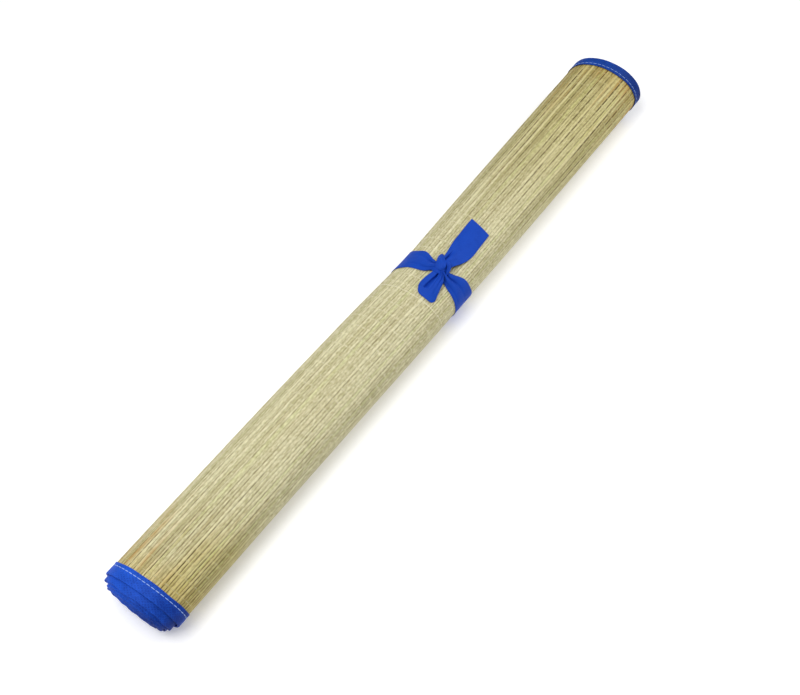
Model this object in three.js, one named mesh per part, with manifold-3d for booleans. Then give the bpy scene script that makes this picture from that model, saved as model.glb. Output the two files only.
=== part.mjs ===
import * as THREE from 'three';
import { mergeVertices } from 'three/addons/utils/BufferGeometryUtils.js';
import Module from 'manifold-3d';

// A straw beach mat rolled up and tied. Straws lie side by side along the roll, blue tape is
// folded over both cut ends of the straws, and one blue ribbon is knotted round the waist.
// The roll lies along X on its flattened underside. Millimetres, Z up.

// Mat
const MAT_WIDTH = 600;
const MAT_THICKNESS = 1.4;
const LOOSE_EDGE = THREE.MathUtils.degToRad(122); // where the loose edge ends, from the top towards +Y
const SLANT = 0.075;                              // how far the outer turn has slid, per mm across
const GAP = 0.3;                                  // clear space between neighbouring pieces

// Girth of the roll, one row for each place along it
const GIRTH = [
  { x: 0, width: 63.7, height: 49.1, bow: 0 },
  { x: 90, width: 63.6, height: 49.1, bow: 0.5 },
  { x: 180, width: 63.8, height: 49.2, bow: -0.4 },
  { x: 270, width: 63.2, height: 48.7, bow: -1.6 },
  { x: 304, width: 62.5, height: 46.4, bow: -2.1 },
  { x: 330, width: 61.4, height: 44.4, bow: -2.3 },
  { x: 356, width: 62.3, height: 46.5, bow: -2.3 },
  { x: 390, width: 63.3, height: 48.9, bow: -2.0 },
  { x: 470, width: 64.9, height: 50.0, bow: -1.4 },
  { x: 600, width: 66.9, height: 51.5, bow: 0 },
];
const CENTRE_HEIGHT = { near: 22.5, far: 23.7 };  // middle of the roll above the floor
const STATION_STEP = { plain: 19, waist: 5, waistReach: 42 };
const AROUND = 60;

// Edge binding: blue tape, a row for each turn that shows at the ends.
// inset is how deep the turn lies under the skin, reach is how far it stands beyond the outer turn.
const TAPE_WIDTH = 10.3;
const TAPE_PROUD = 0.6;
const TAPE_FOLD = 0.8;
const TURNS = [
  { inset: 0, reach: 0, slant: SLANT },
  { inset: 2.9, reach: 6.3, slant: 0.037 },
  { inset: 6.2, reach: 6.8, slant: 0.03 },
  { inset: 9.5, reach: 7.2, slant: 0.03 },
  { inset: 12.8, reach: 7.5, slant: 0.02 },
  { inset: 16.1, reach: 7.8, slant: 0.02 },
];
const LAST_INSET = 19.4;
const HOLLOW = { inset: 19.8, depth: 6 };

// Ribbon tie
const RIBBON = 1.0;
const TIE_X = 330;
const TIE_WIDTH = 23.5;
const TIE_GATHERED = 10;
const GATHER_ANGLE = THREE.MathUtils.degToRad(30);
const KNOT = { x: 330.4, angle: THREE.MathUtils.degToRad(-8.3), long: 7.2, wide: 6.4, tall: 4.2, lift: 5.5 };

// Free ends of the ribbon, a row for each cross fold: where it is along the roll, how far round,
// how wide it is there, how high its middle floats, and how deep its lengthwise pleats are.
// The long end is one layer, the short end is folded back on itself.
const LONG_END = [
  { x: 332, degrees: -8.6, width: 8.0, lift: 4.2, pleat: 1.1 },
  { x: 338, degrees: -10.0, width: 10.0, lift: 4.2, pleat: 1.2 },
  { x: 345, degrees: -12.4, width: 12.8, lift: 3.0, pleat: 1.0 },
  { x: 352, degrees: -13.8, width: 16.5, lift: 1.9, pleat: 0.7 },
  { x: 360, degrees: -14.4, width: 19.2, lift: 1.2, pleat: 0.4 },
  { x: 369, degrees: -14.4, width: 20.0, lift: 1.0, pleat: 0.3 },
  { x: 377, degrees: -14.3, width: 20.2, lift: 1.2, pleat: 0.2 },
  { x: 384, degrees: -14.3, width: 20.2, lift: 1.6, pleat: 0.15 },
];
const SHORT_END = [
  { x: 329, degrees: -9.0, width: 8.5, lift: 3.6, pleat: 1.2 },
  { x: 322, degrees: -13.5, width: 11.5, lift: 3.6, pleat: 1.5 },
  { x: 315, degrees: -16.5, width: 14.5, lift: 2.8, pleat: 1.5 },
  { x: 308, degrees: -18.0, width: 16.6, lift: 2.0, pleat: 1.2 },
  { x: 301.5, degrees: -18.4, width: 17.0, lift: 1.6, pleat: 0.9 },
];

const wasm = await Module();
wasm.setup();

// A smooth curve through one column of a table
function column(rows, name) {
  const places = Float64Array.from(rows, (row) => row.x);
  const values = Float64Array.from(rows, (row) => row[name]);
  const curve = new THREE.CubicInterpolant(places, values, 1);
  return (x) => curve.evaluate(x)[0];
}
const widthAt = column(GIRTH, 'width');
const heightAt = column(GIRTH, 'height');
const bowAt = column(GIRTH, 'bow');
const centreAt = (x) => THREE.MathUtils.lerp(CENTRE_HEIGHT.near, CENTRE_HEIGHT.far, x / MAT_WIDTH);

// How deep the outer turn lies under its own loose edge at an angle round the roll
function wound(angle) {
  const turn = (LOOSE_EDGE - angle) / (2 * Math.PI);
  return MAT_THICKNESS * (turn - Math.floor(turn));
}

// A point at a depth under the skin of the roll. The floor flattens whatever would go below it.
function point(x, angle, inset, slant = SLANT) {
  const across = (widthAt(x) / 2 - inset) * Math.sin(angle);
  const up = (heightAt(x) / 2 - inset) * Math.cos(angle);
  return new THREE.Vector3(x - slant * across, bowAt(x) + across, Math.max(0, centreAt(x) + up));
}

// A point floating above the skin
function above(x, angle, lift) {
  return point(x, angle, wound(angle) - lift);
}

// Closed surface through rings of points, with flat ends
function loft(rings) {
  const count = rings[0].length;
  const position = rings.flat().flatMap((p) => [p.x, p.y, p.z]);
  const index = [];
  for (let r = 0; r + 1 < rings.length; r += 1) {
    for (let i = 0; i < count; i += 1) {
      const a = r * count + i;
      const b = r * count + (i + 1) % count;
      index.push(a, b, b + count, a, b + count, a + count);
    }
  }
  const flatEnd = (r) => THREE.ShapeUtils.triangulateShape(
    rings[r].map((p) => new THREE.Vector2(p.y, p.z)), []);
  const last = (rings.length - 1) * count;
  for (const [a, b, c] of flatEnd(0)) index.push(a, c, b);
  for (const [a, b, c] of flatEnd(rings.length - 1)) index.push(last + a, last + b, last + c);
  const geometry = new THREE.BufferGeometry();
  geometry.setAttribute('position', new THREE.Float32BufferAttribute(position, 3));
  geometry.setIndex(index);
  return geometry;
}

// Turn a closed geometry into a solid for joining and cutting
function solid(geometry) {
  const bare = geometry.clone();
  bare.deleteAttribute('normal');
  bare.deleteAttribute('uv');
  const merged = mergeVertices(bare, 1e-4);
  const made = new wasm.Manifold(new wasm.Mesh({
    numProp: 3,
    vertProperties: Float32Array.from(merged.attributes.position.array),
    triVerts: Uint32Array.from(merged.index.array),
  }));
  return made.volume() < 0 ? solid(flipped(merged)) : made;
}

function flipped(geometry) {
  const turned = geometry.clone();
  const corners = Array.from(geometry.index.array);
  for (let i = 0; i < corners.length; i += 3) corners.splice(i, 3, corners[i], corners[i + 2], corners[i + 1]);
  turned.setIndex(corners);
  return turned;
}

function geometryOf(made) {
  const mesh = made.getMesh();
  const geometry = new THREE.BufferGeometry();
  geometry.setAttribute('position', new THREE.Float32BufferAttribute(Float32Array.from(mesh.vertProperties), 3));
  geometry.setIndex(Array.from(mesh.triVerts));
  geometry.computeVertexNormals();
  return geometry;
}

// One ring round the roll, from the loose edge inwards by one turn
function ring(x, insetStart, insetEnd, slant = SLANT) {
  const points = [];
  for (let i = 0; i <= AROUND; i += 1) {
    const share = i / AROUND;
    const turned = 2 * Math.PI * share * (1 - 0.002);
    const inset = THREE.MathUtils.lerp(insetStart, insetEnd, share);
    points.push(point(x, LOOSE_EDGE - turned, inset, slant));
  }
  return points;
}

// The straw: one wound body between the two bindings
function strawRoll() {
  const start = TAPE_WIDTH + GAP;
  const end = MAT_WIDTH - TAPE_WIDTH - GAP;
  const rings = [];
  for (let x = start; x < end - STATION_STEP.plain / 2;) {
    rings.push(ring(x, 0, MAT_THICKNESS));
    x += Math.abs(x - TIE_X) < STATION_STEP.waistReach ? STATION_STEP.waist : STATION_STEP.plain;
  }
  rings.push(ring(end, 0, MAT_THICKNESS));
  return solid(loft(rings));
}

// One wound turn of tape and everything inside it, from a flat back to a folded rim
function tapeTurn(k, back, rim, skin) {
  const outer = TURNS[k].inset - skin;
  const inner = (k + 1 < TURNS.length ? TURNS[k + 1].inset : LAST_INSET) - skin;
  const slant = TURNS[k].slant;
  const fold = rim > back ? -TAPE_FOLD : TAPE_FOLD;
  return solid(loft([
    ring(back, outer, inner, k === 0 ? SLANT : slant),
    ring(rim + fold, outer, inner, slant),
    ring(rim, outer + TAPE_FOLD, inner + TAPE_FOLD, slant),
  ]));
}

function hollow(back, rim) {
  return solid(loft([ring(back, HOLLOW.inset, HOLLOW.inset + 1, 0), ring(rim, HOLLOW.inset, HOLLOW.inset + 1, 0)]));
}

// Near binding: the inner turns stand out beyond the outer one
function bindingNear() {
  let made = tapeTurn(0, TAPE_WIDTH, 0, TAPE_PROUD);
  for (let k = 1; k < TURNS.length; k += 1) {
    made = made.add(tapeTurn(k, TAPE_WIDTH - 3, -TURNS[k].reach, 0));
  }
  const face = -TURNS[TURNS.length - 1].reach;
  return made.subtract(hollow(face + HOLLOW.depth, face - 5));
}

// Far binding: the same turns are drawn in by as much as they stand out at the near end
function bindingFar() {
  let made = tapeTurn(0, MAT_WIDTH - TAPE_WIDTH, MAT_WIDTH, TAPE_PROUD);
  for (let k = 1; k < TURNS.length; k += 1) {
    const plug = tapeTurn(k, MAT_WIDTH + 12, MAT_WIDTH - TURNS[k].reach, 0);
    made = made.subtract(plug);
  }
  return made;
}

// A strip of ribbon over rows of points, given a thickness along a second set of rows
function strip(under, over, closed) {
  const rings = under.map((row, r) => [...row, ...over[r].slice().reverse()]);
  const count = rings[0].length;
  const position = rings.flat().flatMap((p) => [p.x, p.y, p.z]);
  const index = [];
  const spans = closed ? rings.length : rings.length - 1;
  for (let r = 0; r < spans; r += 1) {
    const next = (r + 1) % rings.length;
    for (let i = 0; i < count; i += 1) {
      const j = (i + 1) % count;
      index.push(r * count + i, r * count + j, next * count + j);
      index.push(r * count + i, next * count + j, next * count + i);
    }
  }
  const across = count / 2;
  const capped = closed ? [] : [[0, 1], [rings.length - 1, -1]];
  for (const [r, way] of capped) {
    for (let i = 0; i + 1 < across; i += 1) {
      const corners = [i, i + 1, count - 2 - i, count - 1 - i].map((c) => r * count + c);
      const [a, b, c, d] = way > 0 ? corners.reverse() : corners;
      index.push(a, b, c, a, c, d);
    }
  }
  const geometry = new THREE.BufferGeometry();
  geometry.setAttribute('position', new THREE.Float32BufferAttribute(position, 3));
  geometry.setIndex(index);
  return solid(geometry);
}

const ACROSS = 10;
const acrossRibbon = Array.from({ length: ACROSS + 1 }, (unused, i) => 2 * i / ACROSS - 1);

// The loop round the waist: full width behind, gathered in pleats as it comes up to the knot
function waistBand() {
  const under = [];
  const over = [];
  const steps = 60;
  for (let i = 0; i < steps; i += 1) {
    const angle = LOOSE_EDGE - 2 * Math.PI * (i + 0.5) / steps;
    const away = Math.atan2(Math.sin(angle - KNOT.angle), Math.cos(angle - KNOT.angle));
    const gather = Math.exp(-((away / GATHER_ANGLE) ** 2));
    const width = THREE.MathUtils.lerp(TIE_WIDTH, TIE_GATHERED, gather);
    const middle = THREE.MathUtils.lerp(TIE_X, KNOT.x, gather);
    const bridge = THREE.MathUtils.smoothstep(i + 0.5, steps - 8, steps - 1) * MAT_THICKNESS;
    const lift = (u) => GAP + 0.1 + bridge + gather * 0.7 * (0.5 + 0.5 * Math.cos(3 * Math.PI * u));
    under.push(acrossRibbon.map((u) => above(middle + u * width / 2, angle, lift(u))));
    over.push(acrossRibbon.map((u) => above(middle + u * width / 2, angle, lift(u) + RIBBON + 0.4 * gather)));
  }
  return strip(under, over, true);
}

// A free end lying on the roll, pleated lengthwise where it leaves the knot
function freeEnd(rows, layers) {
  const sorted = rows[0].x < rows[1].x ? rows : rows.slice().reverse();
  const places = Array.from({ length: 19 }, (unused, i) => THREE.MathUtils.lerp(rows[0].x, rows.at(-1).x, i / 18));
  const read = Object.fromEntries(['degrees', 'width', 'lift', 'pleat'].map((name) => [name, column(sorted, name)]));
  const grid = (extra) => places.map((x) => acrossRibbon.map((u) => {
    const angle = THREE.MathUtils.degToRad(read.degrees(x)) + u * read.width(x) / widthAt(x);
    const fold = read.pleat(x) * (0.5 + 0.5 * Math.cos(3 * Math.PI * u));
    return above(x, angle, Math.max(0.7, read.lift(x) + fold - 0.5) + extra);
  }));
  return strip(grid(0), grid(layers * RIBBON), false);
}

// The knot: a drawn-up lump with one strand wrapped over it
function knot() {
  const seat = above(KNOT.x, KNOT.angle, KNOT.lift);
  const lump = new THREE.SphereGeometry(1, 26, 16);
  lump.scale(KNOT.long, KNOT.wide, KNOT.tall);
  const strand = new THREE.TorusGeometry(4.6, 2.2, 12, 30);
  strand.scale(1, 0.8, 1.7);
  strand.rotateX(Math.PI / 2);
  strand.rotateZ(THREE.MathUtils.degToRad(28));
  strand.translate(0.6, -0.4, 0.4);
  const placed = [lump, strand].map((shape) => {
    shape.rotateX(-KNOT.angle);
    shape.translate(seat.x, seat.y, seat.z);
    return solid(shape);
  });
  return placed[0].add(placed[1]);
}

function tie() {
  const rest = [knot(), freeEnd(LONG_END, 1), freeEnd(SHORT_END, 2)];
  return rest.reduce((made, more) => made.add(more), waistBand());
}

const COLOURS = {
  straw: { color: 0xc9c096, roughness: 0.75, metalness: 0 },
  tape: { color: 0x2450b4, roughness: 0.7, metalness: 0 },
  ribbon: { color: 0x2a58c4, roughness: 0.65, metalness: 0 },
};

const part = new THREE.Group();
part.name = 'rolled_straw_mat';
const pieces = [
  ['straw_roll', strawRoll(), COLOURS.straw],
  ['binding_near', bindingNear(), COLOURS.tape],
  ['binding_far', bindingFar(), COLOURS.tape],
  ['tie', tie(), COLOURS.ribbon],
];
for (const [name, made, colour] of pieces) {
  const mesh = new THREE.Mesh(geometryOf(made), new THREE.MeshStandardMaterial(colour));
  mesh.name = name;
  part.add(mesh);
}

// Stand the roll on the floor with the middle of its length and width over the origin
const box = new THREE.Box3().setFromObject(part);
const middle = box.getCenter(new THREE.Vector3());
for (const mesh of part.children) mesh.geometry.translate(-middle.x, -middle.y, -box.min.z);

export default part;
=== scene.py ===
# %% [markdown]
# # A straw mat, rolled up and tied with a ribbon
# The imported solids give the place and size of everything: one wound roll of straw, two bound
# ends and one tie. This lesson dresses them. The straw becomes one real sheet that is rolled up
# point by point, the bindings become folded tape, and the tie becomes thin ribbon with a knot.

import math

import bmesh
import bpy
import numpy as np
from mathutils import Matrix, Vector


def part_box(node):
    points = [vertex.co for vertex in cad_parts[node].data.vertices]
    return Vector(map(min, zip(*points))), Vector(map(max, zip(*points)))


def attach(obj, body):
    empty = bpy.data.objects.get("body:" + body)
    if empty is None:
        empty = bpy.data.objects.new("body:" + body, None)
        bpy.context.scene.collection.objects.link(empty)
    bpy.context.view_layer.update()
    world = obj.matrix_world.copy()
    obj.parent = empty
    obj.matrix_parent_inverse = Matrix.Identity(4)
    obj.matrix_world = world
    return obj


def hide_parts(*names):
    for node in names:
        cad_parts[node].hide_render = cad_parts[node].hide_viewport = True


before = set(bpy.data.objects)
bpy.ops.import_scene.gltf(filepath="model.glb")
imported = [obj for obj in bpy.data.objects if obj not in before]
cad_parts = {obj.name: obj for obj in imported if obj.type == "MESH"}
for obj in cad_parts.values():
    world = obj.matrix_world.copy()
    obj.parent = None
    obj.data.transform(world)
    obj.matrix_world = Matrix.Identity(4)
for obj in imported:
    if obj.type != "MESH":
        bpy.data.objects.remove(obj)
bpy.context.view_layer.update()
print("solids to dress:", sorted(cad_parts))

# %% [markdown]
# ## Camera, floor and light
# The camera stands high over the near end and looks down along the roll. Its place was fitted to
# the outline of the roll, the edges of the tape and the edges of the ribbon. The light is a broad
# soft lamp high over the near end and a weaker one by the far end, with an even pale sky to open
# the shade. The floor is a pale table that glows faintly, so that it comes out white.

# %% Camera, floor and light
scene = bpy.context.scene
scene.view_settings.view_transform = "Standard"
EYE = Vector((-0.3532, -0.2647, 0.7362))
LOOKS_AT = Vector((-0.0318, -0.0194, 0.0253))


def keep(made):
    """Puts a new object into the scene."""
    scene.collection.objects.link(made)
    return made


camera = keep(bpy.data.objects.new("camera", bpy.data.cameras.new("camera")))
camera.location = EYE
camera.rotation_euler = (LOOKS_AT - EYE).to_track_quat("-Z", "Y").to_euler()
camera.data.lens = 47.25
camera.data.sensor_width = 36
camera.data.clip_start = 0.01
scene.camera = camera


def soft_lamp(name, place, aim, size, power):
    """A square lamp that gives soft-edged shade."""
    made = keep(bpy.data.objects.new(name, bpy.data.lights.new(name, "AREA")))
    made.location = place
    made.rotation_euler = (Vector(aim) - made.location).to_track_quat("-Z", "Y").to_euler()
    made.data.size = size
    made.data.energy = power


soft_lamp("main_lamp", (-0.36, 0.16, 1.00), aim=(-0.12, 0, 0), size=0.7, power=9.0)
soft_lamp("side_lamp", (0.82, -0.36, 0.72), aim=(0.25, 0, 0), size=0.6, power=5.3)

scene.world = bpy.data.worlds.new("pale_sky")
scene.world.use_nodes = True
sky = scene.world.node_tree.nodes["Background"]
sky.inputs["Color"].default_value = (1, 1, 1, 1)
sky.inputs["Strength"].default_value = 0.24

FLOOR_HEIGHT = -0.0003
floor_shape = bmesh.new()
bmesh.ops.create_grid(floor_shape, x_segments=4, y_segments=4, size=30)
bmesh.ops.translate(floor_shape, verts=floor_shape.verts, vec=(0, 0, FLOOR_HEIGHT))
floor_mesh = bpy.data.meshes.new("floor")
floor_shape.to_mesh(floor_mesh)
floor_shape.free()
floor = keep(bpy.data.objects.new("floor", floor_mesh))
paper = bpy.data.materials.new("pale_paper")
paper.use_nodes = True
paper_look = paper.node_tree.nodes["Principled BSDF"].inputs
paper_look["Base Color"].default_value = (0.93, 0.93, 0.93, 1)
paper_look["Roughness"].default_value = 0.9
paper_look["Emission Color"].default_value = (1, 1, 1, 1)
paper_look["Emission Strength"].default_value = 0.20
floor_mesh.materials.append(paper)
print("camera is", round((LOOKS_AT - EYE).length, 3), "m from the roll")

# %% [markdown]
# ## The shape of the roll
# Everything follows the roll, so its shape is written once, in the same millimetres that the
# solids use. A table gives the width, height and sideways bow at places along it. A mat that is
# wound up has a spiral section, so a point is named by how far along the straws it is, how many
# turns it lies inside the loose edge, and how deep it is under the mat's own outer face. The
# number of turns is chosen so that the mat is about 1.8 metres long on average.

# %% Girth of the roll, and a point on any turn of it
MAT_WIDTH, MAT_LENGTH = 600.0, 1800.0
LOOSE_DEGREES = 122
LOOSE_EDGE = math.radians(LOOSE_DEGREES)
SLANT = 0.075
PITCH = 1.27
TURNS = 16.6
GIRTH = np.array([
    (0, 63.7, 49.1, 0.8), (45, 63.7, 49.1, 0.6), (90, 63.6, 49.1, 0.3), (180, 63.8, 49.2, -0.6),
    (270, 63.2, 48.7, -2.0), (304, 62.5, 46.4, -2.8), (330, 61.4, 44.4, -3.2), (356, 62.3, 46.5, -3.2),
    (390, 63.3, 48.9, -2.8), (470, 64.9, 50.0, -1.8), (600, 67.1, 51.5, -0.2)])


def smooth_line(places, values):
    """A smooth curve through the rows of a table, read at any place."""
    places, values = np.array(places, float), np.array(values, float)
    slope = np.empty_like(values)
    slope[1:-1] = (values[2:] - values[:-2]) / (places[2:] - places[:-2])
    slope[0] = (values[1] - values[0]) / (places[1] - places[0])
    slope[-1] = (values[-1] - values[-2]) / (places[-1] - places[-2])

    def read(place):
        place = np.clip(place, places[0], places[-1])
        i = np.clip(np.searchsorted(places, place) - 1, 0, len(places) - 2)
        span = places[i + 1] - places[i]
        p = (place - places[i]) / span
        start = (1 + 2 * p) * (1 - p) ** 2 * values[i] + p * (1 - p) ** 2 * span * slope[i]
        end = p * p * (3 - 2 * p) * values[i + 1] + p * p * (p - 1) * span * slope[i + 1]
        return start + end

    return read


width_at, height_at, bow_at = (smooth_line(GIRTH[:, 0], GIRTH[:, c]) for c in (1, 2, 3))


def ease(low, high, value):
    """Goes from 0 to 1 without a kink."""
    p = np.clip((value - low) / (high - low), 0, 1)
    return p * p * (3 - 2 * p)


slid_by = smooth_line((0, 0.55, 0.8, 1.1, 1.3, 2, 2.35, 3, 3.4, 4.4, 9, 17),
                      (0, 0, 1.7, 5.2, 5.4, 5.6, 6.8, 7.2, 8.0, 8.3, 8.6, 8.7))
slant_of = smooth_line((0, 0.6, 1.15, 2, 9, 17), (SLANT, SLANT, 0.055, 0.050, 0.030, 0.02))
RESTING = PITCH * 0.84
END_REACH = 55
MIDDLE_HEIGHT, MIDDLE_RISE = 22.5, 1.2


def roll_point(along, turns, depth, slant=None):
    """Millimetres of a point of the mat, before the roll is set over the origin."""
    along, turns, depth = np.broadcast_arrays(along, turns, depth)
    angle = LOOSE_EDGE - 2 * np.pi * turns
    near = np.exp(-(along / END_REACH) ** 2)
    ends = 1.3 * near + np.exp(-((MAT_WIDTH - along) / END_REACH) ** 2)
    loose = 0.7 * ease(0.6, 1.15, turns) + 0.5 * ease(1.8, 2.2, turns) + 0.5 * ease(2.8, 3.2, turns)
    inset = PITCH * turns + ends * loose + depth
    across = (width_at(along) / 2 - inset) * np.sin(angle)
    up = (height_at(along) / 2 - inset) * np.cos(angle)
    middle = MIDDLE_HEIGHT + MIDDLE_RISE * np.clip(along / MAT_WIDTH, 0, 1)
    tilt = slant_of(turns) if slant is None else slant
    far = ease(480, MAT_WIDTH, along)
    cupped = near * ease(0.7, 1.2, turns)
    ragged = 0.34 * np.sin(turns * 27 + 0.8) + 0.26 * np.sin(turns * 61)
    x = along - (tilt + 0.035 * far) * across + 0.8 * far - slid_by(turns)
    x = x + cupped * ((1.0 + 0.4 * np.sign(across)) * (across / 32) ** 2 + ragged)
    z = np.maximum(np.maximum(0, inset - RESTING), middle + up)
    return np.stack([x, bow_at(along) + across + 0.4 * cupped, z], axis=-1)


straw_low, straw_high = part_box("straw_roll")
STRAW_FROM, STRAW_TO = 10.6, 589.4
once_round = np.linspace(0, 1, 721)
near_ring = roll_point(np.full(721, STRAW_FROM), once_round, 0, SLANT)
near_ring = near_ring + slid_by(once_round)[:, None] * (1, 0, 0)
far_ring = roll_point(np.full(721, STRAW_TO), once_round, 0, SLANT)
SHIFT = np.array([straw_low.x * 1000 - near_ring[:, 0].min(),
                  straw_high.y * 1000 - far_ring[:, 1].max(), 0])
print("the roll is set over the origin by", SHIFT.round(2), "mm")

# %% [markdown]
# ## From flat grid to rolled sheet
# Cloth, tape and matting all start as flat grids, because that is how they are made. One helper
# lays a grid and says which column and row each point came from. A second writes the points
# where they belong, and a third gives a thin wall to a ribbon.

# %% Helpers for sheets
def blank_grid(columns, rows, copies=1):
    """A bmesh of one or more flat grids, with each point's column, row and copy."""
    shape = bmesh.new()
    for copy in range(copies):
        place = Matrix.Translation((0, 0, copy))
        bmesh.ops.create_grid(shape, x_segments=columns, y_segments=rows, size=1, matrix=place)
    flat = np.array([v.co for v in shape.verts])
    column = np.rint((flat[:, 0] + 1) / 2 * columns).astype(int)
    row = np.rint((flat[:, 1] + 1) / 2 * rows).astype(int)
    return shape, column, row, np.rint(flat[:, 2]).astype(int)


def lay(shape, places):
    """Moves every point of a grid to its place, from millimetres to metres."""
    for point, place in zip(shape.verts, (places + SHIFT) / 1000):
        point.co = place


def piece(name, shape):
    """Turns a bmesh into an object that rides with the roll."""
    mesh = bpy.data.meshes.new(name)
    shape.to_mesh(mesh)
    shape.free()
    mesh.polygons.foreach_set("use_smooth", [True] * len(mesh.polygons))
    made = keep(bpy.data.objects.new(name, mesh))
    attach(made, "root")
    return made


def thicken(made, thickness, offset):
    """Gives a sheet a wall, in millimetres."""
    wall = made.modifiers.new("wall", "SOLIDIFY")
    wall.thickness = thickness / 1000
    wall.offset = offset


print("sheet helpers ready")

# %% [markdown]
# ## Shader sums
# Every finish here is drawn by nodes, not pictures. Node trees are long to write out, so one
# small class holds a socket and lets it be added, multiplied and divided like a number, and
# one method makes any other node.

# %% A socket that behaves like a number
class Wire:
    """A socket of a node tree, used in sums."""

    def __init__(self, tree, socket=None):
        self.tree, self.socket = tree, socket

    def node(self, kind, settings=None, sockets=None, out=0):
        """Any node, with its settings and what goes into it."""
        made = self.tree.nodes.new(kind)
        for name, value in (settings or {}).items():
            setattr(made, name, value)
        for name, value in (sockets or {}).items():
            if isinstance(value, Wire):
                self.tree.links.new(value.socket, made.inputs[name])
            else:
                made.inputs[name].default_value = value
        return Wire(self.tree, made.outputs[out])

    def sum(self, operation, first, second=0.0):
        """A Math node on one or two values."""
        return self.node("ShaderNodeMath", {"operation": operation}, {0: first, 1: second})

    def __add__(self, other): return self.sum("ADD", self, other)
    def __radd__(self, other): return self.sum("ADD", other, self)
    def __sub__(self, other): return self.sum("SUBTRACT", self, other)
    def __rsub__(self, other): return self.sum("SUBTRACT", other, self)
    def __mul__(self, other): return self.sum("MULTIPLY", self, other)
    def __rmul__(self, other): return self.sum("MULTIPLY", other, self)
    def __truediv__(self, other): return self.sum("DIVIDE", self, other)
    def __rtruediv__(self, other): return self.sum("DIVIDE", other, self)
    def __mod__(self, other): return self.sum("FLOORED_MODULO", self, other)

    def floor(self): return self.sum("FLOOR", self)
    def whole(self): return self.sum("ROUND", self)
    def size(self): return self.sum("ABSOLUTE", self)
    def lesser(self, other): return self.sum("MINIMUM", self, other)

    def ramp(self, low, high):
        """0 below low, 1 above high and smooth between."""
        return self.node("ShaderNodeMapRange", {"interpolation_type": "SMOOTHSTEP"},
                         {"Value": self, "From Min": low, "From Max": high})

    def mix(self, first, second, blend="MIX"):
        """Two colours mixed, with this socket as the share of the second."""
        return self.node("ShaderNodeMix", {"data_type": "RGBA", "blend_type": blend},
                         {0: self, 6: first, 7: second}, out=2)

    def chance(self):
        """A number from 0 to 1 that is the same wherever this socket is the same."""
        return self.node("ShaderNodeTexWhiteNoise", {"noise_dimensions": "1D"}, {"W": self})

    def grain(self, across, along, third=0.0, detail=2.0):
        """Soft noise over two or three sockets."""
        place = self.node("ShaderNodeCombineXYZ", None, {0: across, 1: along, 2: third})
        return self.node("ShaderNodeTexNoise", None, {"Vector": place, "Scale": 1.0, "Detail": detail})


def finish_for(name, roughness, shine=0.3):
    """A new material, a wire to start its sums from, and its shader."""
    made = bpy.data.materials.new(name)
    made.use_nodes = True
    shader = made.node_tree.nodes["Principled BSDF"]
    shader.inputs["Roughness"].default_value = roughness
    shader.inputs["Specular IOR Level"].default_value = shine
    return made, Wire(made.node_tree), shader


def wear(shader, wire, colour, roughness, height, strength, distance):
    """Plugs colour, relief and, where it changes over the surface, roughness into a shader."""
    links = wire.tree.links
    links.new(colour.socket, shader.inputs["Base Color"])
    if roughness:
        links.new(roughness.socket, shader.inputs["Roughness"])
    relief = wire.node("ShaderNodeBump", None,
                       {"Height": height, "Strength": strength, "Distance": distance})
    links.new(relief.socket, shader.inputs["Normal"])


print("sums ready")

# %% [markdown]
# ## The straw
# The mat is hundreds of rush straws lying side by side along the roll. They could be modelled as
# hundreds of tubes, but in the roll only the outer turn shows, so one grid does it all: its
# columns are close together on the outer turn, five to a straw, and far apart on the turns
# inside. Each straw gets its own width, crown and wander before the grid is rolled up.

# %% Straws of the outer turn
luck = np.random.default_rng(7)
TRAIL_STEPS, INNER_COLUMNS = 180, 36
TURNS_SHOWN, INNER_STRAW, MAT_WALL = 1.09, 2.4, 0.7
trail = np.linspace(0, TURNS, round(TURNS * TRAIL_STEPS) + 1)
line = roll_point(np.full_like(trail, 300.0), trail, 0.4)[:, 1:]
run = np.concatenate([[0], np.cumsum(np.linalg.norm(np.diff(line, axis=0), axis=1))])
outer_run = np.interp(TURNS_SHOWN, trail, run)

straw_edges = [0.0]
while straw_edges[-1] < outer_run:
    wider, narrower = luck.uniform(2.15, 2.85), luck.uniform(2.0, 2.6)
    straw_edges += [straw_edges[-1] + wider, straw_edges[-1] + wider + narrower]
straw_edges = np.array(straw_edges)
STRAWS = len(straw_edges) - 1
ACROSS_STRAW = np.array([0, 0.12, 0.34, 0.66, 0.88])
CROWN = np.array([0, 0.62, 0.96, 0.96, 0.62])

straw_no = np.repeat(np.arange(STRAWS), len(ACROSS_STRAW))
share = np.tile(ACROSS_STRAW, STRAWS)
fine_run = straw_edges[straw_no] + share * np.diff(straw_edges)[straw_no]
coarse_turns = np.arange(np.interp(straw_edges[-1], run, trail), TURNS, 1 / INNER_COLUMNS)
column_turns = np.concatenate([np.interp(fine_run, run, trail), coarse_turns])
column_run = np.interp(column_turns, trail, run)
print(STRAWS, "straws show;", len(column_turns), "columns;", round(column_turns[-1], 1), "turns")

# %% Rows along the straws
THREAD_START, THREAD_PITCH, THREAD_COUNT = 14.6, 10.37, 56
TUCKED_IN = 1.2
THREADS = THREAD_START + THREAD_PITCH * np.arange(THREAD_COUNT)
between = [along for k, along in enumerate(THREADS[1:-1]) if k % 2 == 0 or 285 < along < 375]
row_along = np.concatenate([[TUCKED_IN, 5, 9.4, 11.2], between,
                            [588.8, 590.6, 595, MAT_WIDTH - TUCKED_IN]])
under_tape = 1 - ease(9.0, 12.5, np.minimum(row_along, MAT_WIDTH - row_along))
print(len(row_along), "rows along each straw")

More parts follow.
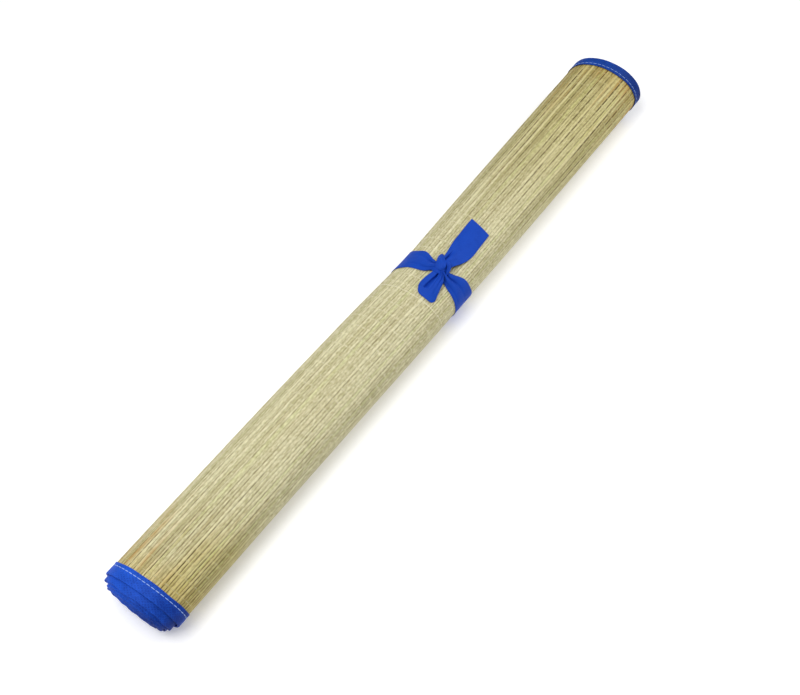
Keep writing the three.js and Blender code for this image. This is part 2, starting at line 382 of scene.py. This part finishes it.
# %% Roll the grid up
mat_shape, column, row, _ = blank_grid(len(column_turns) - 1, len(row_along) - 1)
edges_wander = np.zeros((STRAWS + 1, len(row_along)))
for wave in (340.0, 150.0, 70.0):
    phase = luck.uniform(0, 2 * np.pi, (STRAWS + 1, 1))
    reach = luck.normal(0, 0.16, (STRAWS + 1, 1)) * (wave / 150) ** 0.5
    edges_wander += reach * np.sin(2 * np.pi * row_along / wave + phase)
crown_height = luck.uniform(0.30, 0.56, STRAWS)
sits = luck.normal(0, 0.05, STRAWS)

fine = len(fine_run)
wander = np.zeros((len(column_turns), len(row_along)))
one_side, other_side = edges_wander[straw_no], edges_wander[straw_no + 1]
wander[:fine] = (1 - share[:, None]) * one_side + share[:, None] * other_side
wander[:len(ACROSS_STRAW)] = 0
relief = np.full((len(column_turns), 1), 0.1)
relief[:fine, 0] = 0.30 - np.tile(CROWN, STRAWS) * (crown_height + sits)[straw_no]
depth = relief * (1 - under_tape) + 0.20 * under_tape
turns_here = np.interp(column_run[:, None] + wander, run, trail)
tucked = np.where(np.arange(len(column_turns)) < fine, TUCKED_IN, TUCKED_IN + 2.0)[:, None]
places = roll_point(np.clip(row_along[None, :], tucked, MAT_WIDTH - tucked), turns_here, depth)
lay(mat_shape, places[column, row])
rolled = np.linalg.norm(np.diff(places[:, :, 1:], axis=0), axis=2).sum(axis=0)
print("rolled length", rolled.min().round(), "to", rolled.max().round(), "mm,",
      "mean", rolled.mean().round())
mat = piece("straw_mat", mat_shape)
thicken(mat, MAT_WALL, -1)
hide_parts("straw_roll")

# %% Map of the straws
# Across, the map counts straws. Along them it is in metres.
inner_straws = STRAWS + (column_run[fine:] - straw_edges[-1]) / INNER_STRAW
count_across = np.concatenate([straw_no + share, inner_straws])
corner = np.empty(len(mat.data.loops), int)
mat.data.loops.foreach_get("vertex_index", corner)
straw_map = np.stack([count_across[column], row_along[row] / 1000], axis=1)[corner]
mat.data.uv_layers.new(name="straw_map").data.foreach_set("uv", straw_map.ravel())
print("mat sheet:", len(mat.data.polygons), "faces")

# %% [markdown]
# ## The finish of the straw
# Rush dries to a pale greenish straw colour and no two stems are alike. The map counts straws
# across, so its whole part picks a colour for each stem and its fraction tells where the groove
# between two stems is. Long noise along the stem gives streaks, and the grooves get painted
# shade, darkest where they gape. The straw is a warmer brown by the tapes. Painted shade makes it
# darker towards the far end, a little over the near end, and on the lower side of the near end.

# %% Straw material
straw_finish, wire, shader = finish_for("rush_straw", 0.62)
chart = wire.node("ShaderNodeUVMap", {"uv_map": "straw_map"})
across = wire.node("ShaderNodeSeparateXYZ", None, {0: chart}, out=0)
along = wire.node("ShaderNodeSeparateXYZ", None, {0: chart}, out=1)
stem = across.floor()
groove_no = across.whole()
from_groove = (across - groove_no).size()
to_end = along.lesser(MAT_WIDTH / 1000 - along)

DEEP, PALE, GREEN = (0.435, 0.39, 0.208, 1), (0.745, 0.705, 0.462, 1), (0.95, 0.985, 0.88, 1)
WARM, GROOVE_SHADE, PAINTED_SHADE_TINT = (0.50, 0.30, 0.09, 1), (0.110, 0.080, 0.024, 1), (0.84, 0.80, 0.58, 1)
STAINED = (0.93, 0.85, 0.68, 1)
to_far, to_near = along.ramp(0.34, 0.56), 1.0 - along.ramp(0.02, 0.13)
drift = wire.grain(stem * 7.3, along * 9.0)
streak = wire.grain(across * 4.0, along * 40.0, stem, detail=3.0)
hair = (across * 3.0).floor()
chop = wire.grain(hair * 5.1, along * 300.0, 7.0)
from_stem_to_stem = 0.24 + 0.34 * to_near + 0.40 * to_far
tone = 0.5 + ((stem + 0.5).chance() - 0.5) * from_stem_to_stem + (drift - 0.5) * 0.6
tone = tone + (streak - 0.5) * (0.6 + 1.1 * to_near + 1.0 * to_far) + (chop - 0.5) * 1.6
colour = tone.ramp(0.05, 1.0).mix(DEEP, PALE)
colour = (stem * 1.7 + 3.5).chance().ramp(0.65, 1.0).mix(colour, GREEN, "MULTIPLY")
right_of_top = across.ramp(14.0, 26.0) * to_near
lower_side_shade = across.ramp(24.0, 40.0) * to_near
patches = wire.grain(across * 0.6, along * 14.0, 4.0).ramp(0.46, 0.76)
warmth = patches * (0.06 + (1.0 - to_end.ramp(0.012, 0.10)) * (0.9 - 0.75 * right_of_top))
colour = warmth.mix(colour, WARM)
# Painted shade, multiplied in: far end, a little over the near end, its lower side and cut ends.
cut_end_shade = across.ramp(24.0, 29.5) * (1.0 - along.ramp(0.02, 0.085))
colour = (0.20 * to_near + 0.80 * lower_side_shade + 0.80 * cut_end_shade + to_far).mix(colour, PAINTED_SHADE_TINT, "MULTIPLY")
colour = (1.0 - to_end.ramp(0.010, 0.036)).mix(colour, STAINED, "MULTIPLY")

threads_along = (along * 1000.0 - THREAD_START) / THREAD_PITCH
thread_no = threads_along.whole()
from_thread = (threads_along - thread_no).size() * THREAD_PITCH
between_pairs = 1.0 - groove_no % 2.0
gape = (groove_no * 2.3 + 11.5).chance() * 0.5 + 0.5
broken = wire.grain(groove_no * 5.7, along * 22.0, 9.0).ramp(0.36, 0.60)
wide = (from_groove.ramp(0.03, 0.22 + 0.15 * to_far) * between_pairs
        + from_groove.ramp(0.0, 0.20) * (1.0 - between_pairs))
bridged = from_thread.ramp(0.4, 2.2) * 0.45 + 0.55
deep = (groove_no * 1.9 + 5.5).chance().ramp(0.86, 0.95) * to_near * 0.5
pair_gap = between_pairs * (0.22 - 0.10 * to_near + 0.82 * to_far * gape)
strength = 0.36 - 0.08 * to_far + 0.52 * to_near * gape + pair_gap + deep + 0.32 * cut_end_shade
# Painted shade in the grooves between stems, stronger towards both ends and where a groove gapes.
shaded_groove = (1.0 - wide) * strength * (0.40 + 0.60 * broken) * bridged
colour = shaded_groove.mix(colour, GROOVE_SHADE)

held_down = ((stem + thread_no) % 2.0) * 1.6 - 0.8
pinch = (1.0 - from_thread.ramp(0.2, 1.9)) * held_down
fibre = wire.grain(across * 16.0, along * 60.0, stem, detail=3.0)
stem_relief = fibre * 0.5 + streak * 0.35 - pinch * 0.6 - shaded_groove * 0.6
wear(shader, wire, colour, 0.5 + streak * 0.3, stem_relief, 0.8, 0.00025)
mat.data.materials.append(straw_finish)
print("straw finish has", len(straw_finish.node_tree.nodes), "nodes")

# %% [markdown]
# ## The cross threads
# Fine cotton threads hold the straws together, about a finger's width apart. Each goes over one
# straw and under the next, and its neighbour does the opposite. One by the ribbon has slipped and
# lies on top of the straws. A thread is a four-sided tube, made from a grid whose two long sides
# are welded, and all the threads are one mesh. They are paler in the middle of the roll.

# %% Cross threads
stops = np.sort(np.concatenate([straw_edges[:-1], (straw_edges[1:] + straw_edges[:-1]) / 2]))
THREAD_SIDES, HALF_WIDE, HALF_HIGH = 4, 0.22, 0.17
TOP_THREAD, SLIPPED, STOUTER = 27, 4.6, 1.35
thread_shape, column, row, copy = blank_grid(len(stops) - 1, THREAD_SIDES, len(THREADS))
crossing = np.arange(len(stops)) % 2 == 1
over = (np.arange(len(stops)) // 2)[None, :] + np.arange(len(THREADS))[:, None]
rise = np.where(crossing[None, :], np.where(over % 2 == 0, 0.10, -0.45), -0.16)
rise[TOP_THREAD] = np.maximum(rise[TOP_THREAD], 0.0)
rise[:, 0] = rise[:, -1] = -0.25
on_top = np.arange(len(THREADS)) == TOP_THREAD
stout, laid = np.where(on_top, STOUTER, 1.0), THREADS + np.where(on_top, SLIPPED, 0)
sway = luck.normal(0, 0.12, rise.shape)
ring = 2 * np.pi * (row % THREAD_SIDES) / THREAD_SIDES
thread_turns = np.interp(stops, run, trail)[column]
thread_along = (laid[:, None] + sway)[copy, column] + HALF_WIDE * stout[copy] * np.cos(ring)
thread_depth = -rise[copy, column] - HALF_HIGH * stout[copy] * np.sin(ring)
lay(thread_shape, roll_point(thread_along, thread_turns, thread_depth))
bmesh.ops.remove_doubles(thread_shape, verts=thread_shape.verts, dist=1e-6)
bmesh.ops.holes_fill(thread_shape, edges=thread_shape.edges, sides=THREAD_SIDES)
bmesh.ops.recalc_face_normals(thread_shape, faces=thread_shape.faces)
threads = piece("cross_threads", thread_shape)

cotton_finish, wire, shader = finish_for("cotton_thread", 0.8)
place = wire.node("ShaderNodeTexCoord", out=3)
fuzz = wire.node("ShaderNodeTexNoise", None, {"Vector": place, "Scale": 900.0})
x_of = wire.node("ShaderNodeSeparateXYZ", None, {0: place})
# The threads are paler in the middle of the roll and darker towards both ends.
paler_middle = x_of.ramp(-0.17, -0.06) * (1.0 - x_of.ramp(0.04, 0.16))
end_tone = fuzz.mix((0.40, 0.36, 0.19, 1), (0.62, 0.58, 0.36, 1))
colour = paler_middle.mix(end_tone, fuzz.mix((0.66, 0.62, 0.43, 1), (0.92, 0.89, 0.70, 1)))
wear(shader, wire, colour, None, fuzz, 0.5, 0.0001)
threads.data.materials.append(cotton_finish)
print(len(THREADS), "cross threads,", len(threads.data.polygons), "faces")

# %% [markdown]
# ## The bound ends
# The cut ends of the straws are wrapped in blue tape that is folded over the edge and sewn
# through. It was sewn on while the mat lay flat, so it winds up with it: one long folded strip
# for each end. The section of the strip is a narrow U, and the same rolling puts it in place.

# %% Folded tape
TAPE_WIDTH, TAPE_WALL, STITCH_LINE = 10.3, 0.2, 7.5
TAPE_TURN = 140.0
tape_turns = np.concatenate([np.arange(0, 2.2, 1 / 150), np.arange(2.2, column_turns[-1], 1 / 40)])
leaf = np.concatenate([np.linspace(TAPE_WIDTH, 7.9, 4), [STITCH_LINE], np.linspace(7.1, 0.7, 6)])
bend = np.linspace(0.2, np.pi - 0.2, 5)
from_rim = np.concatenate([leaf, 0.55 - 0.55 * np.sin(bend), leaf[::-1]])
layer = np.concatenate([np.zeros(len(leaf)), 0.5 - 0.5 * np.cos(bend), np.ones(len(leaf))])


def folded_tape(name, node, near):
    """One binding: the U section carried round every turn of the mat's edge."""
    order = slice(None, None, -1 if near else 1)
    rim, face = from_rim[order], layer[order]
    shape, column, row, _ = blank_grid(len(tape_turns) - 1, len(rim) - 1)
    turns, rim, face = tape_turns[column], rim[row], face[row]
    proud = 0.04 + 0.46 * (1 - ease(0.75, 1.2, turns))
    pucker = 0.07 * np.sin(turns * 2 * np.pi * 46.5) * np.exp(-((rim - STITCH_LINE) / 2.2) ** 2)
    sewn = 0.20 * np.exp(-((rim - STITCH_LINE) / 0.75) ** 2) - 0.10 * ease(8.6, TAPE_WIDTH, rim)
    swell = 0.08 * np.sin(turns * 29 + 1.3) + 0.06 * np.sin(turns * 67)
    outer = -proud + (sewn + pucker - swell * ease(0, 4, 7 - rim)) * (1 - ease(0.95, 1.2, turns))
    depth = outer * (1 - face) + 1.02 * face
    edge_sway = 0.22 * np.sin(turns * 21 + near) + 0.12 * np.sin(turns * 53)
    from_edge = rim + edge_sway * (rim > 8.5)
    along = from_edge if near else MAT_WIDTH - from_edge
    lay(shape, roll_point(along, turns, depth))
    made = piece(name, shape)
    thicken(made, TAPE_WALL, 0)
    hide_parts(node)
    marks = np.stack([turns * (TAPE_TURN / 1000), rim / 1000 * (1 - 2 * face)], axis=1)
    corner = np.empty(len(made.data.loops), int)
    made.data.loops.foreach_get("vertex_index", corner)
    made.data.uv_layers.new(name="tape_map").data.foreach_set("uv", marks[corner].ravel())
    return made


tape_near = folded_tape("tape_near", "binding_near", True)
tape_far = folded_tape("tape_far", "binding_far", False)
print("tape:", len(tape_near.data.polygons), "faces at each end")

# %% [markdown]
# ## The stitching
# A pale thread runs round each binding, close to the side that lies on the straw. Its stitches
# are about three millimetres long with a tiny dip between. Each is a small bead, stretched along
# the tape and laid flat in the groove that the sewing has pulled.

# %% Stitches
STITCH_PITCH, STITCH_LENGTH, STITCH_LIFT = 3.75, 3.1, 0.42


def stitch_row(name, along, fat):
    """Stitches round the outer turn of one binding."""
    shape = bmesh.new()
    starts = np.arange(2.0, np.interp(1.0, trail, run), STITCH_PITCH)
    for start in starts:
        turns = np.interp([start, start + STITCH_LENGTH / 2, start + STITCH_LENGTH], run, trail)
        ends = (roll_point(np.full(3, along), turns, -STITCH_LIFT) + SHIFT) / 1000
        above = Vector((roll_point(along, turns[1], -1.4) + SHIFT) / 1000)
        tail, middle, head = (Vector(p) for p in ends)
        way = (head - tail) / 2
        out = (above - middle).normalized()
        side = way.cross(out).normalized()
        form = Matrix((way * 1.06, side * fat / 1000, out * 0.00022)).transposed().to_4x4()
        form.translation = middle
        bmesh.ops.create_uvsphere(shape, u_segments=7, v_segments=6, radius=1,
                                  matrix=form @ Matrix.Rotation(math.pi / 2, 4, "Y"))
    bmesh.ops.recalc_face_normals(shape, faces=shape.faces)
    return piece(name, shape)


stitches_near = stitch_row("stitches_near", STITCH_LINE, 0.27)
stitches_far = stitch_row("stitches_far", MAT_WIDTH - STITCH_LINE, 0.20)

sewing_finish, wire, shader = finish_for("sewing_thread", 0.5)
place = wire.node("ShaderNodeTexCoord", out=3)
fuzz = wire.node("ShaderNodeTexNoise", None, {"Vector": place, "Scale": 1400.0})
wear(shader, wire, fuzz.mix((0.18, 0.34, 0.78, 1), (0.50, 0.66, 0.95, 1)), None, fuzz, 0.4, 0.0001)
for row_of_stitches in (stitches_near, stitches_far):
    row_of_stitches.data.materials.append(sewing_finish)
print("stitches:", len(stitches_near.data.polygons), "faces at each end")

# %% [markdown]
# ## The finish of the tape and ribbon
# Both are a thin bonded cloth: matted fibres with small dots pressed in rows, where the fibres
# are melted together. Two crossed waves make the rows of dots, and noise that is drawn out both
# ways gives the fibres, with larger flecks between. The same recipe serves the ribbon and both
# tapes. A tape has painted light on one side of the roll and painted shade on the other, and the
# one at the far end is painted a deeper blue as painted shade.

# %% Bonded cloth
def bonded_cloth(name, chart_name, light, dark, pressed, painted_shading=0.0):
    """A blue cloth with pressed dots; a last number above 0 paints light and shade round the roll."""
    made, wire, shader = finish_for(name, 0.6, 0.12)
    chart = wire.node("ShaderNodeUVMap", {"uv_map": chart_name})
    across = wire.node("ShaderNodeSeparateXYZ", None, {0: chart}, out=0) * 1000.0
    along = wire.node("ShaderNodeSeparateXYZ", None, {0: chart}, out=1) * 1000.0
    rows = wire.sum("SINE", (across + along) * 1.4) * wire.sum("SINE", (across - along) * 1.4)
    dots = rows.size().ramp(0.55, 0.95)
    fibres = (wire.grain(across * 9.0, along * 1.6, 2.0, detail=3.0)
              + wire.grain(across * 1.6, along * 9.0, 5.0, detail=3.0))
    cloudy = wire.grain(across * 0.12, along * 0.12, 8.0)
    flecks = wire.grain(across * 0.8, along * 0.8, 11.0, detail=3.0) - 0.5
    tone = fibres * 0.45 + cloudy * 0.6 + flecks * (2.4 * pressed) - dots * pressed
    # Painted light on one side of the roll and painted shade on the other, following the turns.
    if painted_shading:
        tone = tone - 0.17 + wire.sum("COSINE", (across / TAPE_TURN - 0.12) * (2 * math.pi)) * painted_shading
    colour = tone.ramp(0.20, 0.85).mix(dark, light)
    relief = fibres * 0.3 + flecks * (1.2 * pressed) - dots * (1.6 * pressed)
    wear(shader, wire, colour, 0.5 + fibres * 0.12, relief, 0.55, 0.00025)
    return made


# The far tape gets deeper blues than the near one, as painted shade.
for tape, light, dark in ((tape_near, (0.014, 0.095, 0.610, 1), (0.002, 0.024, 0.215, 1)),
                          (tape_far, (0.008, 0.060, 0.360, 1), (0.002, 0.018, 0.140, 1))):
    tape.data.materials.append(bonded_cloth("blue_" + tape.name, "tape_map", light, dark,
                                            pressed=0.15, painted_shading=0.19))
print("tape finish ready")

# %% [markdown]
# ## The ribbon
# One ribbon goes round the waist of the roll and is knotted on top. It is full width behind,
# and its edges run together as it comes up to the knot, where the spare cloth stands up in
# pleats. Tables give the two edges, read from the photo, and folds are raised between them.

# %% Ribbon helpers
KNOT_X, KNOT_ANGLE = 330.4, -8.3
RIBBON_WALL, RIBBON_HALF = 0.32, 11.75


def over_roll(x, degrees, lift):
    """A point above the straw of the outer turn, at a place and an angle from the top."""
    turns = ((LOOSE_DEGREES - degrees) / 360) % 1.0
    along = x + 1.0 + (SLANT * width_at(x) / 2 - 1.3) * np.sin(np.radians(degrees))
    return roll_point(along, turns, -lift, SLANT) + slid_by(turns)[..., None] * (1, 0, 0)


def pleats(u, folds, shift):
    """Rounded ridges with sharp creases between, across a ribbon from -1 to 1."""
    return np.abs(np.cos(np.pi * (folds * u / 2 + shift))) ** 0.8


ribbon_shape = bmesh.new()
ribbon_shape.loops.layers.uv.new("ribbon_map")


def add_strip(places, flat_across, flat_along):
    """Adds one stretch of ribbon, with a thin wall, to the tie."""
    steps, columns = places.shape[0] - 1, places.shape[1] - 1
    shape, column, row, _ = blank_grid(columns, steps)
    lay(shape, places[row, column])
    chart = shape.loops.layers.uv.new("ribbon_map")
    spot = np.stack([flat_across[column] / 1000, flat_along[row] / 1000], axis=1)
    shape.verts.index_update()
    for face in shape.faces:
        face.smooth = True
        for corner in face.loops:
            corner[chart].uv = spot[corner.vert.index]
    bmesh.ops.solidify(shape, geom=shape.faces, thickness=RIBBON_WALL / 1000)
    bmesh.ops.recalc_face_normals(shape, faces=shape.faces)
    add_form(shape)


def add_form(shape):
    """Joins a finished form to the tie."""
    loose = bpy.data.meshes.new("loose")
    shape.to_mesh(loose)
    shape.free()
    ribbon_shape.from_mesh(loose)
    bpy.data.meshes.remove(loose)


print("the knot sits", KNOT_X, "mm along and", KNOT_ANGLE, "degrees from the top")

# %% The loop round the waist
U = np.linspace(-1, 1, 41)
WAY = (0, 8, 15, 22, 30, 37, 45, 53, 80, 110, 180, 250, 280, 291,
       302, 312, 321.5, 330.3, 338, 345, 352, 360)
LEFT = (327.0, 324.4, 322.3, 321.3, 320.8, 320.4, 319.8, 318.6, 316.2, 316.0, 316.3, 316.5, 317.0, 317.6,
        318.6, 319.4, 320.1, 320.8, 322.1, 323.6, 325.4, 327.0)
RIGHT = (333.0, 333.6, 334.9, 336.7, 338.8, 339.7, 339.4, 338.7, 339.2, 339.4, 339.8, 339.8, 339.2, 338.8,
         338.8, 338.8, 338.1, 336.1, 334.1, 332.8, 332.5, 333.0)
left_of, right_of = smooth_line(WAY, LEFT), smooth_line(WAY, RIGHT)


def bump(u, at, wide):
    """A soft ridge across a ribbon."""
    return np.exp(-((u - at) / wide) ** 2)


way = np.concatenate([np.linspace(1, 60, 80), np.linspace(64, 290, 76), np.linspace(293, 359, 86)])
away = np.minimum(way, 360 - way)[:, None]
x = left_of(way)[:, None] * (1 - U) / 2 + right_of(way)[:, None] * (1 + U) / 2
upper_fold = (0.9 * bump(U, 0.9, 0.24) + 1.0 * bump(U, -0.15, 0.42)
              - 2.4 * bump(U, 0.50, 0.09) - 1.0 * bump(U, -0.5, 0.08))
lower_fold = (1.2 * bump(U, -0.36, 0.32) + 1.1 * bump(U, 0.62, 0.32)
              - 2.3 * bump(U, 0.14, 0.08) - 1.2 * bump(U, -0.66, 0.07))
is_upper = (way < 180)[:, None]
fold = np.where(is_upper, upper_fold * np.exp(-(away / 29) ** 2),
                lower_fold * np.exp(-(away / 42) ** 2))
tight = np.exp(-(away / 12) ** 2) * (2.0 + 1.7 * pleats(U, 5.0, 0.2))
pillow = np.where(is_upper, 2.2 * np.exp(-(away / 26) ** 2),
                  2.4 * np.exp(-(away / 36) ** 2)) * (1 - U ** 2)
twist = 0.10 * np.sin(np.radians(way[:, None] * 4)) * U
lift = np.maximum(0.66 + pillow + 1.35 * fold + tight, 0.64) + twist
add_strip(over_roll(x, way[:, None] + KNOT_ANGLE, lift), U * RIBBON_HALF, way * 0.46)
print("waist loop laid")

# %% The long free end
LONG_X = (331, 335, 340, 343, 346, 350, 355, 361, 368, 376, 383.7)
UPPER = smooth_line(LONG_X, (-4.8, -4.5, -3.9, -3.1, -2.1, -0.7, 1.0, 2.0, 2.4, 2.9, 2.5))
LOWER = smooth_line(LONG_X, (-16.0, -19.2, -22.0, -24.2, -27.2, -30.4, -33.4,
                             -34.8, -34.2, -33.4, -32.6))
LONG_LIFT = smooth_line(LONG_X, (4.6, 4.8, 4.4, 3.8, 3.2, 2.3, 1.5, 1.1, 0.95, 1.0, 1.3))
x = np.linspace(LONG_X[0], LONG_X[-1], 84)[:, None]
degrees = UPPER(x) * (1 + U) / 2 + LOWER(x) * (1 - U) / 2
from_knot = np.clip((x - LONG_X[0]) / 30, 0, 1)
slack = (1 - from_knot) ** 1.4
crease_at = 0.60 - 0.22 * from_knot
fold = slack * (1.2 * bump(U, crease_at + 0.34, 0.25) + 1.5 * bump(U, crease_at - 0.42, 0.34) - 0.3)
fold -= 3.0 * (1 - ease(0.32, 0.72, from_knot)) * bump(U, crease_at, 0.085)
fold += 0.8 * (1 - ease(0.0, 0.4, from_knot)) * pleats(U, 4.6, 0.1)
flutter = 0.30 * from_knot * np.abs(U) ** 3 + 0.16 * np.sin(2.2 * U + x / 8)
lift = np.maximum(LONG_LIFT(x) + fold + flutter, 0.62)
long_end = over_roll(x - 0.9 + U * (2.2 - 0.4 * from_knot), degrees + 0.7, lift)
add_strip(long_end, U * RIBBON_HALF, x[:, 0])
print("long end laid")

# %% The short free end
SHORT_X = (302, 305, 309, 313, 318, 322.5, 328)
SHORT_REACH = 26.2
UPPER = smooth_line(SHORT_X, (-4.2, -2.6, -1.9, -2.2, -3.4, -5.2, -6.4))
LOWER = smooth_line(SHORT_X, (-36.6, -35.6, -33.2, -30.8, -27.8, -24.8, -16.0))
SHORT_LIFT = smooth_line(SHORT_X, (1.0, 1.4, 2.0, 2.6, 3.3, 3.9, 4.4))
W = np.linspace(0, 1, 60)[:, None]
x = SHORT_X[-1] - SHORT_REACH * W
degrees = UPPER(x) * (1 + U) / 2 + LOWER(x) * (1 - U) / 2
pillow = 1.0 * np.sin(np.pi * W) * (1 - np.abs(U) ** 2.5)
crease_at = 0.16 + 0.36 * W
shorter = 1 - ease(0.70, 0.77, W - 0.10 * (U - crease_at))
tongue = 0.7 * shorter * ease(-0.03, 0.05, U - crease_at)
valley = -2.8 * shorter * np.where(U < crease_at, bump(U, crease_at, 0.17), bump(U, crease_at, 0.05))
fold = (1 - W) ** 1.6 * (1.9 * pleats(U, 5.2, 0.05) * ease(0.3, -0.1, U) + 0.5)
lift = np.maximum(SHORT_LIFT(x) + pillow + tongue + valley + fold, 0.62)
rounded = W ** 4 * np.where(U > 0, 4.4 * np.abs(U) ** 4, 3.6 * np.abs(U) ** 8)
add_strip(over_roll(x + rounded, degrees, lift), U * RIBBON_HALF, W[:, 0] * 30)
print("short end laid")

# %% [markdown]
# ## The knot
# The two ends cross and one strand is drawn over them. Under it all is a lump of squeezed
# ribbon with creases that run into it. Over that goes the strand, which comes up as a small
# corner beside the long end and dives into the short end. A second strand turns round its side.
# Each is a flattened tube whose section has lobes, like gathered cloth.

# %% Knot
seat = over_roll(np.array(KNOT_X), np.array(KNOT_ANGLE), np.array(0.0))
tilt = math.radians(KNOT_ANGLE)
E1 = np.array([1.0, 0.0, 0.0])
E2 = np.array([0.0, math.cos(tilt), math.sin(tilt) * 0.78])
E3 = np.array([0.0, math.sin(tilt), math.cos(tilt)])


def knot_point(a, b, c):
    """Along the roll, across it and up from the straw under the knot."""
    a, b, c = (np.asarray(part)[..., None] for part in (a, b, c))
    return seat + a * E1 + b * E2 + c * E3


def settle(shape):
    """Closes a form's seams, turns its faces outwards and joins it to the tie."""
    bmesh.ops.remove_doubles(shape, verts=shape.verts, dist=1e-6)
    bmesh.ops.holes_fill(shape, edges=shape.edges, sides=0)
    bmesh.ops.recalc_face_normals(shape, faces=shape.faces)
    chart = shape.loops.layers.uv.new("ribbon_map")
    for face in shape.faces:
        face.smooth = True
        for corner in face.loops:
            corner[chart].uv = (corner.vert.co.x, corner.vert.co.y + corner.vert.co.z)
    add_form(shape)


lump = bmesh.new()
bmesh.ops.create_uvsphere(lump, u_segments=48, v_segments=24, radius=1)
ball = np.array([v.co for v in lump.verts])
spin = np.arctan2(ball[:, 1], ball[:, 0])
crumple = 1 + 0.16 * (np.abs(np.sin(4.5 * spin + 0.6)) ** 0.6 - 0.6) * (1 - ball[:, 2] ** 2)
lay(lump, knot_point(6.0 * ball[:, 0] * crumple, 5.6 * ball[:, 1] * crumple, 3.7 + 3.1 * ball[:, 2]))
settle(lump)


STRAND_ROUND, STRAND_ALONG = 48, 44


def add_strand(path, wide, thick, folds, blunt=0.5):
    """A gathered strand along a path of points: a lobed tube that narrows at both ends."""
    path = np.array(path, float)
    stations = np.arange(len(path))
    steps = np.linspace(0, len(path) - 1, STRAND_ALONG + 1)
    spine = np.stack([smooth_line(stations, path[:, k])(steps) for k in range(3)], axis=1)
    girth = smooth_line(stations, np.broadcast_to(wide, len(path)))(steps)
    ahead = np.gradient(spine, axis=0)
    ahead /= np.linalg.norm(ahead, axis=1, keepdims=True)
    side = np.cross(ahead, (0, 0, 1.0))
    side /= np.linalg.norm(side, axis=1, keepdims=True)
    out = np.cross(side, ahead)
    shape, column, row, _ = blank_grid(STRAND_ROUND, STRAND_ALONG)
    ring = 2 * np.pi * (column % STRAND_ROUND) / STRAND_ROUND
    taper = np.sin(np.pi * np.clip(row / STRAND_ALONG, 0.06, 0.94)) ** blunt
    creases = sum(deep * bump(ring, at + row / 160, 0.11) for at, deep in folds)
    creases = creases * np.sin(np.pi * row / STRAND_ALONG)
    a = girth[row] * taper * np.cos(ring)
    b = thick * taper * (np.sin(ring) - creases)
    points = spine[row] + a[:, None] * side[row] + b[:, None] * out[row]
    lay(shape, knot_point(points[:, 0], points[:, 1], points[:, 2]))
    settle(shape)


add_strand([(11.0, 5.6, 3.0), (8.2, 4.6, 5.0), (4.8, 2.6, 6.8),
            (1.6, 0.4, 7.5), (-1.4, -1.6, 6.4), (-3.0, -3.0, 3.8)],
           (2.8, 3.0, 3.4, 4.2, 4.3, 3.6), 2.1,
           ((0.72, 0.4), (1.15, 0.22), (1.95, 0.42), (2.3, 0.25)), blunt=0.22)
add_strand([(2.6, 3.0, 5.2), (4.6, -0.4, 6.4), (5.0, -3.6, 6.2),
            (3.4, -6.4, 5.0), (0.6, -7.9, 3.0), (-1.6, -8.4, 0.8)],
           1.9, 1.7, ((1.1, 0.35), (1.8, 0.25)))
add_strand([(-3.0, 6.2, 1.2), (-4.4, 3.2, 4.0), (-4.9, -0.2, 4.8),
            (-4.2, -3.2, 3.6), (-3.0, -4.6, 1.6)],
           1.9, 1.7, ((1.1, 0.3), (2.0, 0.3)))
print("knot tied")

# %% One tie
tie = piece("ribbon_tie", ribbon_shape)
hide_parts("tie")
tie.data.materials.append(
    bonded_cloth("blue_ribbon", "ribbon_map", light=(0.007, 0.060, 0.445, 1),
                 dark=(0.003, 0.032, 0.280, 1), pressed=0.08))
print("tie:", len(tie.data.polygons), "faces")
